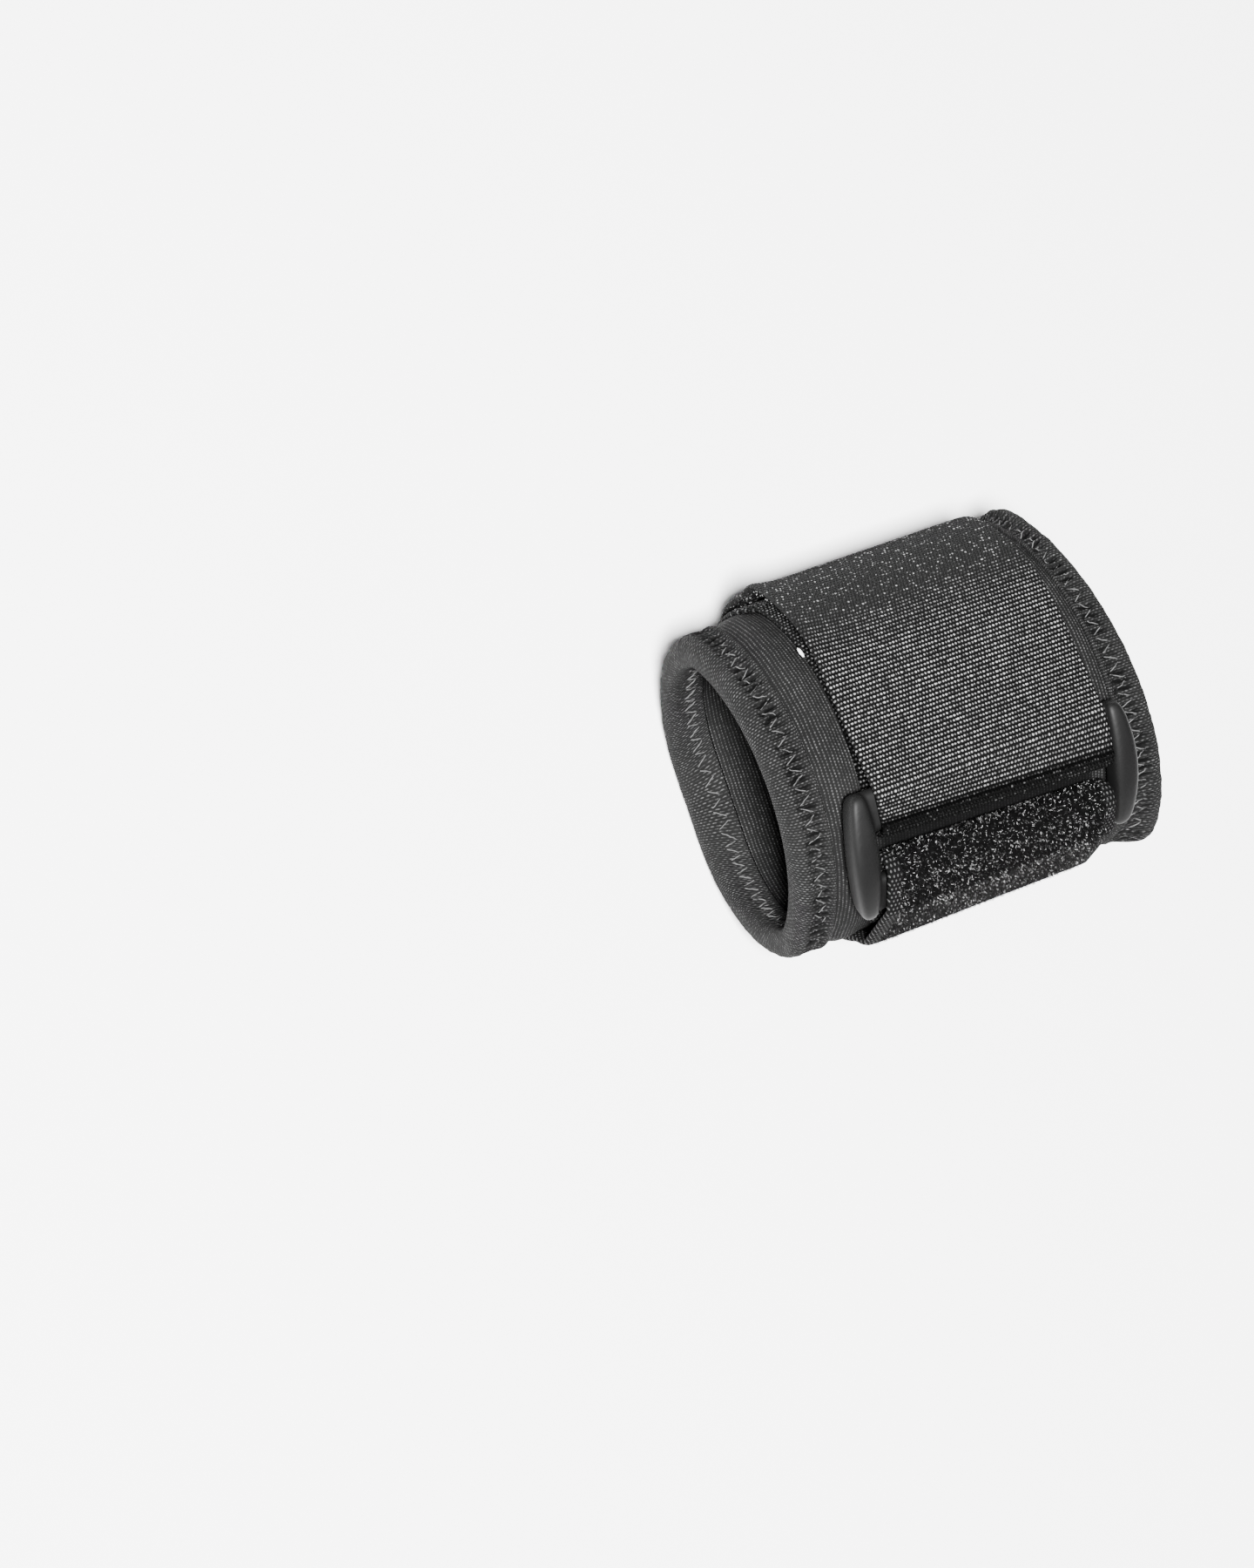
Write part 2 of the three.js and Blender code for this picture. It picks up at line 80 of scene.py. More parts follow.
# Each light is placed by the picture's own right, up and towards the eye, in metres from the cuff
lights = {
    "key": {"place": (0.06, -0.10, 1.30), "size": 0.22, "power": 140.0},
    "side": {"place": (-0.95, -0.05, 0.70), "size": 0.30, "power": 3.5},
}
cuffMiddle = Vector((0, 0, 0.03))
for name, light in lights.items():
    lamp = bpy.data.lights.new(name, "AREA")
    lamp.shape = "SQUARE"
    lamp.size = light["size"]
    lamp.energy = light["power"]
    holder = bpy.data.objects.new(name, lamp)
    across, above, near = light["place"]
    offset = right * across + up * above - ahead * near
    holder.location = cuffMiddle + offset
    holder.rotation_euler = (-offset).to_track_quat("-Z", "Y").to_euler()
    bpy.context.scene.collection.objects.link(holder)

skyStrength = 0.07
world = bpy.data.worlds.new("studio")
bpy.context.scene.world = world
world.use_nodes = True
world.node_tree.nodes["Background"].inputs["Color"].default_value = (1, 1, 1, 1)
world.node_tree.nodes["Background"].inputs["Strength"].default_value = skyStrength


class Wire:
    def __init__(self, tree, socket):
        self.tree = tree
        self.socket = socket

    def maths(self, operation, *others):
        values = dict(enumerate((self, *others)))
        return self.tree.node("ShaderNodeMath", {"operation": operation}, values)

    def __add__(self, other):
        return self.maths("ADD", other)

    def __radd__(self, other):
        return self.maths("ADD", other)

    def __sub__(self, other):
        return self.maths("SUBTRACT", other)

    def __rsub__(self, other):
        return (self * -1).maths("ADD", other)

    def __mul__(self, other):
        return self.maths("MULTIPLY", other)

    def __rmul__(self, other):
        return self.maths("MULTIPLY", other)

    def __truediv__(self, other):
        return self.maths("DIVIDE", other)

    def __pow__(self, other):
        return self.maths("POWER", other)

    def __abs__(self):
        return self.maths("ABSOLUTE")

    def sine(self):
        return self.maths("SINE")

    def floor(self):
        return self.maths("FLOOR")

    def fraction(self):
        return self.maths("FRACT")

    def between(self, low, high):
        settings = {"interpolation_type": "SMOOTHSTEP"}
        return self.tree.node("ShaderNodeMapRange", settings, {"Value": self, "From Min": low, "From Max": high})


class Tree:
    def __init__(self, nodeTree):
        self.nodeTree = nodeTree

    # Settings come first, then the values or links of the sockets
    def node(self, kind, settings=None, sockets=None, output=0):
        made = self.nodeTree.nodes.new(kind)
        for key, value in (settings or {}).items():
            setattr(made, key, value)
        for key, value in (sockets or {}).items():
            if isinstance(value, Wire):
                self.nodeTree.links.new(value.socket, made.inputs[key])
            else:
                made.inputs[key].default_value = value
        return Wire(self, made.outputs[output]) if len(made.outputs) else made

    def split(self, vector):
        parts = self.node("ShaderNodeSeparateXYZ", {}, {"Vector": vector})
        outputs = parts.socket.node.outputs
        return [Wire(self, outputs[axis]) for axis in "XYZ"]

    def join(self, x, y, z):
        return self.node("ShaderNodeCombineXYZ", {}, {"X": x, "Y": y, "Z": z})

    def mix(self, share, first, second):
        return self.node("ShaderNodeMix", {"data_type": "RGBA"}, {0: share, 6: first, 7: second}, 2)


def grey(value, warmth=0.0):
    return (value * (1 + warmth), value, value * (1 - warmth), 1)


class Finish(Tree):
    def __init__(self, name):
        self.material = bpy.data.materials.new(name)
        self.material.use_nodes = True
        super().__init__(self.material.node_tree)
        self.nodeTree.nodes.clear()

    # The piece's own cloth coordinates, in millimetres across and along it
    def cloth(self):
        layer = self.node("ShaderNodeUVMap", {"uv_map": "cloth"})
        x, y, _ = self.split(layer)
        return x * 1000, y * 1000

    def place(self):
        return self.node("ShaderNodeTexCoord", {}, {}, 3)

    def noise(self, vector, scale, detail=3.0, roughness=0.6):
        values = {"Vector": vector, "Scale": scale, "Detail": detail, "Roughness": roughness}
        return self.node("ShaderNodeTexNoise", {}, values)

    def bump(self, height, distance, strength=1.0):
        values = {"Height": height, "Distance": distance, "Strength": strength}
        return self.node("ShaderNodeBump", {}, values)

    def surface(self, sockets):
        shader = self.node("ShaderNodeBsdfPrincipled", {}, sockets)
        self.node("ShaderNodeOutputMaterial", {}, {"Surface": shader})
        return self.material


wrist = {
    "bandWidth": 78,
    "halfWidth": 29.4,
    "rise": 23.2,
    "drop": 18,
    "shoulder": 10,
    "wall": 3,
    "skew": 6,  # degrees
    "gap": 0.3,
    "floorGap": 0.4,
}
straps = {
    "width": 50.6,
    "offset": 1.7,
    "thickness": 1.3,
    "pileThickness": 1.8,
    "hookThickness": 0.8,
    "hookInset": 1,
    "pileDrift": -0.7,
    "innerEnd": -66,
    "outerEnd": -125,
    "pileEnd": 290,
    "pileUnderEnd": 150,
    "hookStart": 50,
    "hookEnd": -122,
    "lift": 2.4,
    "liftWidth": 16,
    "liftAngles": (-2, 32, 42, 78),  # degrees where it starts, is full, falls and ends
    "ease": (2, 22),  # degrees past an end, where the run above settles
    "pileEase": (2, 32),
    "slack": 2.5,
    "margin": 1.8,  # the cuff stays pulled in this far past the straps
}
ring = {
    "angle": 117.8,
    "slotLength": 52.6,
    "shift": -1,
    "slotWidth": 9.4,
    "crossWidth": 8.3,
    "crossThickness": 3,
    "endWidth": 5.2,
    "endBelow": 2.1,
    "endAbove": 3.2,
    "endBow": 1.9,
    "endOverhang": 0.1,
    "swell": {-1: 0.7, 1: 0.25},  # into the slot, at the middle of each end bar
    "voxel": 0.32,
    "soften": 6,
    "tone": 0.0022,
}
binding = {"thickness": 0.8, "reach": 7.6, "roll": 0.8, "flatWidth": 20.5}

fullTurn = 6
handRim = -wrist["bandWidth"] / 2
forearmRim = wrist["bandWidth"] / 2
handEdge = straps["offset"] - straps["width"] / 2
forearmEdge = straps["offset"] + straps["width"] / 2
firstLayer = wrist["wall"] + wrist["gap"]
overInner = firstLayer + straps["thickness"] + wrist["gap"]
overHook = overInner + straps["hookThickness"] + wrist["gap"]
overPile = firstLayer + straps["pileThickness"] + wrist["gap"]
overBoth = overPile + straps["hookThickness"] + wrist["gap"]
bindingOut = firstLayer + binding["thickness"]
centreHeight = wrist["drop"] + overBoth + straps["thickness"]
hemDrop = centreHeight - bindingOut - binding["roll"] - wrist["floorGap"]
sections = [
    {"at": handRim, "halfWidth": 0.932, "rise": 0.853, "hem": 1, "sideways": -0.015},
    {"at": handRim + binding["reach"], "halfWidth": 0.972, "rise": 0.92, "hem": 0.6, "sideways": -0.01},
    {"at": handEdge - straps["margin"], "halfWidth": 0.997, "rise": 0.985, "hem": 0, "sideways": 0},
    {"at": straps["offset"], "halfWidth": 1, "rise": 1, "hem": 0, "sideways": 0},
    {"at": forearmEdge + straps["margin"], "halfWidth": 1, "rise": 1, "hem": 0, "sideways": 0},
    {"at": forearmRim, "halfWidth": 1.07, "rise": 0.945, "hem": 1, "sideways": 0},
]


def share(low, high, value):
    return min(max((value - low) / (high - low), 0), 1)


def smooth(low, high, value):
    t = share(low, high, value)
    return t * t * (3 - 2 * t)


def smoother(low, high, value):
    t = share(low, high, value)
    return t * t * t * (t * (6 * t - 15) + 10)


def between(low, high, t):
    return low + (high - low) * t


# A smooth reading of one column of a table
def read(rows, column, at):
    last = len(rows) - 1
    i = 0
    while i < last - 1 and at > rows[i + 1]["at"]:
        i += 1

    def slope(j):
        before = rows[max(j - 1, 0)]
        after = rows[min(j + 1, last)]
        here = rows[j][column]
        if 0 < j < last and (after[column] - here) * (here - before[column]) <= 0:
            return 0
        return (after[column] - before[column]) / (after["at"] - before["at"])

    span = rows[i + 1]["at"] - rows[i]["at"]
    t = share(rows[i]["at"], rows[i + 1]["at"], at)
    s = t * t * (3 - 2 * t)
    bend = t * (1 - t) * span
    straight = between(rows[i][column], rows[i + 1][column], s)
    return straight + bend * ((1 - t) * slope(i) - t * slope(i + 1))


@lru_cache(maxsize=None)
def sectionAt(x):
    halfWidth = wrist["halfWidth"] * read(sections, "halfWidth", x)
    rise = wrist["rise"] * read(sections, "rise", x)
    drop = between(wrist["drop"], hemDrop, read(sections, "hem", x))
    sideways = wrist["halfWidth"] * read(sections, "sideways", x)
    radius = wrist["shoulder"]
    reach = halfWidth - radius
    lift = rise - radius
    sink = (reach * reach - lift * lift) / (2 * lift)
    turn = math.atan2(sink, reach)
    heel = halfWidth - drop
    half = math.pi / 2
    arcs = [
        (reach, reach, 0, radius, 0, turn),
        (0, 0, -sink, rise + sink, turn, math.pi - turn),
        (-reach, -reach, 0, radius, math.pi - turn, math.pi),
        (-heel, -heel, 0, drop, math.pi, 3 * half),
        (-heel, heel, 0, drop, 3 * half, 3 * half),
        (heel, heel, 0, drop, 3 * half, 4 * half),
    ]
    skew = math.tan(math.radians(wrist["skew"])) * smoother(forearmEdge, forearmRim, x)
    return arcs, sideways, skew, sink, turn


# A point and its outward angle, at a turn from 0 to 6 and a distance out of the wrist
def onWrist(x, turn, out):
    arcs, sideways, skew, _, _ = sectionAt(round(x, 3))
    around = turn % fullTurn
    part = min(int(around), fullTurn - 1)
    fromY, toY, z, radius, fromAngle, toAngle = arcs[part]
    t = around - part
    angle = between(fromAngle, toAngle, t)
    y = between(fromY, toY, t) + (radius + out) * math.cos(angle) + sideways
    return Vector((x - y * skew, y, centreHeight + z + (radius + out) * math.sin(angle))), angle


shoulderTurn = sectionAt(straps["offset"])[4]
crownSink = sectionAt(straps["offset"])[3]


def turnAt(degrees):
    angle = math.radians(degrees % 360)
    cycle = fullTurn * math.floor(degrees / 360)
    half = math.pi / 2
    if angle < shoulderTurn:
        return cycle + angle / shoulderTurn
    if angle < math.pi - shoulderTurn:
        return cycle + 1 + (angle - shoulderTurn) / (math.pi - 2 * shoulderTurn)
    if angle < math.pi:
        return cycle + 2 + (angle - math.pi + shoulderTurn) / shoulderTurn
    if angle < 3 * half:
        return cycle + 3 + (angle - math.pi) / half
    return cycle + 5 + (angle - 3 * half) / half


# Even steps round the cuff, found from the length of its outline
outlineTurns = [i * fullTurn / 1200 for i in range(1201)]


def outlineLengths(x, out):
    lengths = [0.0]
    last = onWrist(x, 0, out)[0]
    for turn in outlineTurns[1:]:
        here = onWrist(x, turn, out)[0]
        lengths.append(lengths[-1] + (here - last).length)
        last = here
    return lengths


def turnAtLength(lengths, length):
    i = min(max(bisect_right(lengths, length) - 1, 0), len(lengths) - 2)
    t = share(lengths[i], lengths[i + 1], length)
    return between(outlineTurns[i], outlineTurns[i + 1], t)


def finished(mesh, name, material, nodes=()):
    piece = bpy.data.objects.new(name, mesh)
    bpy.context.scene.collection.objects.link(piece)
    piece.data.materials.clear()
    piece.data.materials.append(material)
    for face in piece.data.polygons:
        face.use_smooth = True
    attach(piece, "root")
    if nodes:
        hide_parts(*nodes)
    return piece


# A grid of columns and rows bent into a tube or strip. Place gives millimetres, flat the cloth's own, and mark
# a share kept on each vertex: how much painted shade a knit gets there, or how thick loops stand.
def bentGrid(columns, rows, place, flat=None, mark=None):
    bm = bmesh.new()
    bmesh.ops.create_grid(bm, x_segments=columns, y_segments=rows, size=0.5)
    layer = bm.loops.layers.uv.new("cloth")
    marked = bm.verts.layers.float.new("clothMark")
    cells = {vert: (round((vert.co.x + 0.5) * columns), round((vert.co.y + 0.5) * rows)) for vert in bm.verts}
    if flat:
        for face in bm.faces:
            for loop in face.loops:
                x, y = flat(*cells[loop.vert])
                loop[layer].uv = (x * mm, y * mm)
    if mark:
        for vert, (column, row) in cells.items():
            vert[marked] = mark(column, row)
    for vert, (column, row) in cells.items():
        vert.co = place(column, row) * mm
    bmesh.ops.remove_doubles(bm, verts=bm.verts[:], dist=0.00001)
    bmesh.ops.holes_fill(bm, edges=[edge for edge in bm.edges if edge.is_boundary], sides=0)
    bmesh.ops.recalc_face_normals(bm, faces=bm.faces[:])
    mesh = bpy.data.meshes.new("grid")
    bm.to_mesh(mesh)
    bm.free()
    return mesh


# A thread along a path of (point, outward) pairs
def threadMesh(path, radius, sides=5):
    points = [point for point, _ in path]

    def place(column, row):
        before = points[max(row - 1, 0)]
        after = points[min(row + 1, len(points) - 1)]
        along = (after - before).normalized()
        out = path[row][1]
        beside = along.cross(out).normalized()
        angle = 2 * math.pi * column / sides
        return points[row] + (beside * math.cos(angle) + beside.cross(along) * math.sin(angle)) * radius

    return bentGrid(sides, len(points) - 1, place, lambda column, row: (column, row * 0.5))


def outward(angle):
    return Vector((0, math.cos(angle), math.sin(angle)))


# Ribs of the knit stand at every pitch, counted round the rim for a binding and along the arm for the sleeve
def knitFinish(name, tone, pitch, roundRim):
    finish = Finish(name)
    across, along = finish.cloth()
    if roundRim:
        across, along = along, across
    sway = (finish.noise(finish.place(), 260, 2) - 0.5) * 0.4
    rows = ((across + sway) * (2 * math.pi / pitch)).sine() * 0.5 + 0.5
    loops = (along * (2 * math.pi / 0.6) + (across / pitch).floor() * math.pi).sine() * 0.5 + 0.5
    loose = finish.noise(finish.place(), 1500, 1).between(0.4, 0.66)
    patchy = finish.noise(finish.place(), 300, 3).between(0.25, 0.7)
    height = rows * 0.7 + rows * loops * 0.5 + loose * 0.25
    glint = (rows * (0.45 + loops * 0.55)).between(0.35, 0.9) * (0.25 + loose * 0.75) * (0.5 + patchy * 0.5)
    # Painted shade from the mark: darker under the straps on the sleeve and in the gathered creases of a binding
    paintedShade = finish.node("ShaderNodeAttribute", {"attribute_name": "clothMark"}, {}, 2)
    wear = finish.noise(finish.place(), 60, 4).between(0.3, 0.75)
    colour = finish.mix(glint, grey(tone * 0.3), grey(tone * 4.2))
    colour = finish.mix(wear * 0.15, colour, grey(tone * 1.3, 0.02))
    colour = finish.mix(paintedShade, colour, grey(tone * 0.06))
    return finish.surface(
        {
            "Base Color": colour,
            "Roughness": 0.9,
            "Specular IOR Level": 0.05,
            "Normal": finish.bump(height, 0.0002, 0.8),
        }
    )


# Ribs with a bright dash wherever a yarn crosses, the weave's own pattern; along one stretch the dashes are full as a
# painted highlight, and away from it only painted glints are left
def webbingFinish(name, tone, pitch, taut):
    finish = Finish(name)
    across, along = finish.cloth()
    # Painted highlight: the stretch where the dashes are full and brighter
    highlightShare = along.between(taut[0], taut[1]) * (1 - along.between(taut[2], taut[3]))
    rib = (along / pitch).floor()
    crest = abs((along * (math.pi / pitch)).sine())
    jitter = finish.noise(finish.join(across * 0.001, rib * 0.0137, 0), 900, 2) - 0.5
    stitch = ((across / 0.7 + rib * 0.5 + jitter * 1.3).fraction() - 0.5) * 2
    dot = 1 - abs(stitch)
    loose = finish.noise(finish.place(), 1300, 1)
    even = 0.2 + loose.between(0.38, 0.64) * 0.72
    litTop = along.between(taut[2], taut[3])
    shown = highlightShare + (1 - along.between(taut[0] - 12, taut[0] - 10)) * 0.4
    # Painted glints, more of them on the lit top
    sparse = loose.between(0.57, 0.67) * (0.2 + litTop * 0.8)
    selvedge = 1 - abs(across).between(24.7, 25.2) * 0.6
    lit = even * shown + sparse * (1 - shown)
    dash = (crest * (0.32 + dot * 0.68)).between(0.4, 0.95) * lit * selvedge
    height = crest * 0.6 + crest * dot * 0.9
    wear = finish.noise(finish.place(), 60, 4).between(0.3, 0.75)
    # Painted shade darkens the ground at the fold; the top gets painted light
    shadedGround = finish.mix(litTop, grey(tone * 0.002), grey(tone * 0.017))
    ground = finish.mix(highlightShare, shadedGround, grey(tone * 0.009))
    # The dashes are painted brighter further into the highlight
    low = along.between(taut[0], taut[0] + 9)
    pale = finish.mix(highlightShare, grey(tone * 0.8), finish.mix(low, grey(tone * 0.85), grey(tone * 1.25)))
    colour = finish.mix(dash, ground, pale)
    colour = finish.mix(wear * 0.02 * highlightShare, colour, grey(tone * 0.2, 0.02))
    return finish.surface(
        {
            "Base Color": colour,
            "Roughness": 0.6 - dash * 0.12,
            "Specular IOR Level": 0.04,
            "Normal": finish.bump(height, 0.00035, 1.0),
        }
    )


# A dark looped ground; its woven selvedges are bare from a given distance off the middle
def pileFinish(name, tone, bareFrom):
    finish = Finish(name)
    across, along = finish.cloth()
    place = finish.place()
    curl = finish.noise(place, 900, 4, 0.7)
    clump = finish.noise(place, 160, 3)
    ground = finish.mix(curl.between(0.4, 0.7), grey(tone * 0.4), grey(tone * 1.6))
    ground = finish.mix(clump * 0.3, ground, grey(tone * 0.6))
    crest = abs((along * (math.pi / 0.86)).sine())
    dot = 1 - abs(((across / 0.8 + (along / 0.86).floor() * 0.5).fraction() - 0.5) * 2)
    woven = crest * 0.6 + crest * dot * 0.9
    bare = abs(across).between(bareFrom - 0.3, bareFrom + 0.3)
    edge = finish.mix((crest * dot).between(0.42, 0.8), grey(0.003), grey(0.045))
    return finish.surface(
        {
            "Base Color": finish.mix(bare, ground, edge),
            "Roughness": 0.95,
            "Specular IOR Level": 0.03,
            "Normal": finish.bump(woven * bare + curl * (1 - bare), 0.0004, 0.8),
        }
    )


# A yarn catches the light more or less by its own brightness, kept as an attribute
def yarnFinish(name, dark, pale):
    finish = Finish(name)
    shade = finish.node("ShaderNodeAttribute", {"attribute_name": "shade"}, {}, 2)
    return finish.surface(
        {
            "Base Color": finish.mix(shade, grey(dark), grey(pale)),
            "Roughness": 0.65,
            "Specular IOR Level": 0.03,
        }
    )


def threadFinish(name, tone):
    finish = Finish(name)
    across, along = finish.cloth()
    twist = ((along * 6 + across * 1.26).sine() * 0.5) + 0.5
    return finish.surface(
        {
            "Base Color": finish.mix(twist, grey(tone * 0.5), grey(tone)),
            "Roughness": 0.6,
            "Specular IOR Level": 0.4,
            "Normal": finish.bump(twist, 0.0001, 0.6),
        }
    )


def plasticFinish(name, tone):
    finish = Finish(name)
    place = finish.place()
    grain = finish.noise(place, 1500, 2)
    rub = finish.noise(place, 90, 4).between(0.4, 0.75)
    return finish.surface(
        {
            "Base Color": finish.mix(rub * 0.5, grey(tone), grey(tone * 1.4)),
            "Roughness": 0.56 + rub * 0.1,
            "Specular IOR Level": 0.14,
            "Normal": finish.bump(grain, 0.00004, 0.4),
        }
    )


def floorFinish():
    finish = Finish("pale_paper")
    return finish.surface({"Base Color": grey(0.9), "Roughness": 0.9, "Specular IOR Level": 0.1})


print("floor")
floorMesh = bmesh.new()
bmesh.ops.create_grid(floorMesh, x_segments=1, y_segments=1, size=3)
floorData = bpy.data.meshes.new("floor")
floorMesh.to_mesh(floorData)
floorMesh.free()
floorData.materials.append(floorFinish())
floor = bpy.data.objects.new("floor", floorData)
bpy.context.scene.collection.objects.link(floor)

print("sleeve")
# strapShade is how much painted shade the sleeve's face gets under the straps
sleeveLook = {"columns": 104, "rows": 320, "bulge": 0.7, "ripple": 0.25, "strapShade": 0.9, "tone": 0.0135}
sleeveLengths = outlineLengths(0, wrist["wall"])
cuffRound = sleeveLengths[-1]


def sleeveOut(x, turn):
    beside = max(math.exp(-(((x - handEdge + 3.2) / 2.4) ** 2)), math.exp(-(((x - forearmEdge - 3.0) / 2.2) ** 2)))
    under = smooth(handEdge - 1.5, handEdge + 1, x) * (1 - smooth(forearmEdge - 1, forearmEdge + 1.5, x))
    ripple = noise.noise(Vector((x * 0.09, math.cos(turn) * 2.2, math.sin(turn) * 2.2))) * (1 - under)
    return sleeveLook["bulge"] * beside + sleeveLook["ripple"] * ripple


def sleevePlace(column, row):
    half = sleeveLook["columns"] // 2
    inset = binding["thickness"] + wrist["gap"]
    outer = column <= half
    t = column / half if outer else (sleeveLook["columns"] - column) / half
    x = between(handRim + inset, forearmRim - inset, t)
    turn = turnAtLength(sleeveLengths, cuffRound * row / sleeveLook["rows"])
    edge = (1 - (2 * t - 1) ** 24) ** 0.5
    half = wrist["wall"] / 2
    extra = sleeveOut(x, turn) if outer else 0
    out = half + (half * edge + extra if outer else -half * edge)
    return onWrist(x, turn, out)[0]


def sleeveFlat(column, row):
    half = sleeveLook["columns"] // 2
    t = column / half
    return t * wrist["bandWidth"], cuffRound * row / sleeveLook["rows"]


# Painted shade: the face is darkened where the straps lie over it
def sleeveStrapShade(column, row):
    half = sleeveLook["columns"] // 2
    if column > half:
        return 0.0
    fromMiddle = abs(between(handRim, forearmRim, column / half) - straps["offset"])
    return sleeveLook["strapShade"] * (1 - smooth(straps["width"] / 2 - 2, straps["width"] / 2, fromMiddle))


sleeve = finished(
    bentGrid(sleeveLook["columns"], sleeveLook["rows"], sleevePlace, sleeveFlat, sleeveStrapShade),
    "knit_neoprene_sleeve",
    knitFinish("neoprene_knit", sleeveLook["tone"], 0.7, False),
    ["neoprene_sleeve"],
)

print("bindings and their stitching")
bindingLook = {
    "columns": 66,
    "rows": 760,
    "stitchPitch": 3.75,
    "stitchNear": 2.9,  # from the rim
    "stitchFar": 6.4,
    "sink": 0.42,
    "pucker": 0.3,
    "gather": 0.7,
    "gatherPitch": 1.7,
    "gatherMiddle": 4.6,
    "gatherHalf": 2.1,
    "thread": 0.13,
    "tone": 0.0155,
    "threadTone": 0.055,
}
bindingProfile = [
    {"at": 0, "inward": 7.7, "out": 3.35},
    {"at": 1, "inward": 7.72, "out": 3.9},
    {"at": 2, "inward": 7.3, "out": 4.28},
    {"at": 3, "inward": 6.4, "out": 4.2},
    {"at": 4, "inward": 5.0, "out": 4.25},
    {"at": 5, "inward": 3.6, "out": 4.6},
    {"at": 6, "inward": 2.2, "out": 4.85},
    {"at": 7, "inward": 0.9, "out": 4.4},
    {"at": 8, "inward": 0.15, "out": 3.2},
    {"at": 9, "inward": 0.0, "out": 1.6},
    {"at": 10, "inward": 0.15, "out": 0.1},
    {"at": 11, "inward": 0.9, "out": -0.9},
    {"at": 12, "inward": 2.6, "out": -1.1},
    {"at": 13, "inward": 5.0, "out": -1.05},
    {"at": 14, "inward": 7.2, "out": -1.1},
    {"at": 15, "inward": 7.7, "out": -0.75},
    {"at": 16, "inward": 7.5, "out": -0.35},
    {"at": 17, "inward": 1.2, "out": -0.3},
    {"at": 18, "inward": 0.8, "out": 1.6},
    {"at": 19, "inward": 1.2, "out": 3.3},
    {"at": 20, "inward": 7.5, "out": 3.3},
    {"at": 21, "inward": 7.7, "out": 3.35},
]


def stitchInward(length):
    t = (length / bindingLook["stitchPitch"]) % 1
    return between(bindingLook["stitchNear"], bindingLook["stitchFar"], abs(2 * t - 1))


# The creases that the stitching gathers across the binding, 0 on a ridge and 1 in its gap
def creaseAt(inward, length, seed):
    wander = noise.noise(Vector((length * 0.21, inward * 0.45, seed + 21))) * 2.6
    uneven = 0.35 + 0.65 * smooth(-0.4, 0.15, noise.noise(Vector((length * 0.3, inward * 0.15, seed + 33))))
    offMiddle = (inward - bindingLook["gatherMiddle"]) / bindingLook["gatherHalf"]
    gathered = math.exp(-(offMiddle**4)) * uneven
    wave = math.sin(2 * math.pi * length / bindingLook["gatherPitch"] + wander)
    return gathered * min(1, max(0, 0.6 - wave))


# How far the stitching and the turned fabric pucker the binding
def puckerAt(inward, length, seed):
    toThread = abs(inward - stitchInward(length))
    pressed = math.exp(-((toThread / 0.45) ** 2))
    wave = noise.noise(Vector((length * 0.3, inward * 0.12, seed)))
    fine = noise.noise(Vector((length * 1.1, inward * 0.35, seed + 7)))
    return (
        -bindingLook["sink"] * pressed
        + bindingLook["pucker"] * (wave + 0.6 * fine)
        - bindingLook["gather"] * creaseAt(inward, length, seed)
    )


# More columns where the stitching shows than inside the fold
bindingSpread = [(0, 0), (0.06, 2), (0.5, 6), (0.62, 8.5), (0.74, 12), (0.86, 16), (1, 21)]


def bindingAt(column):
    t = column / bindingLook["columns"]
    for (low, lowAt), (high, highAt) in zip(bindingSpread, bindingSpread[1:]):
        if t <= high:
            return between(lowAt, highAt, share(low, high, t))
    return 21


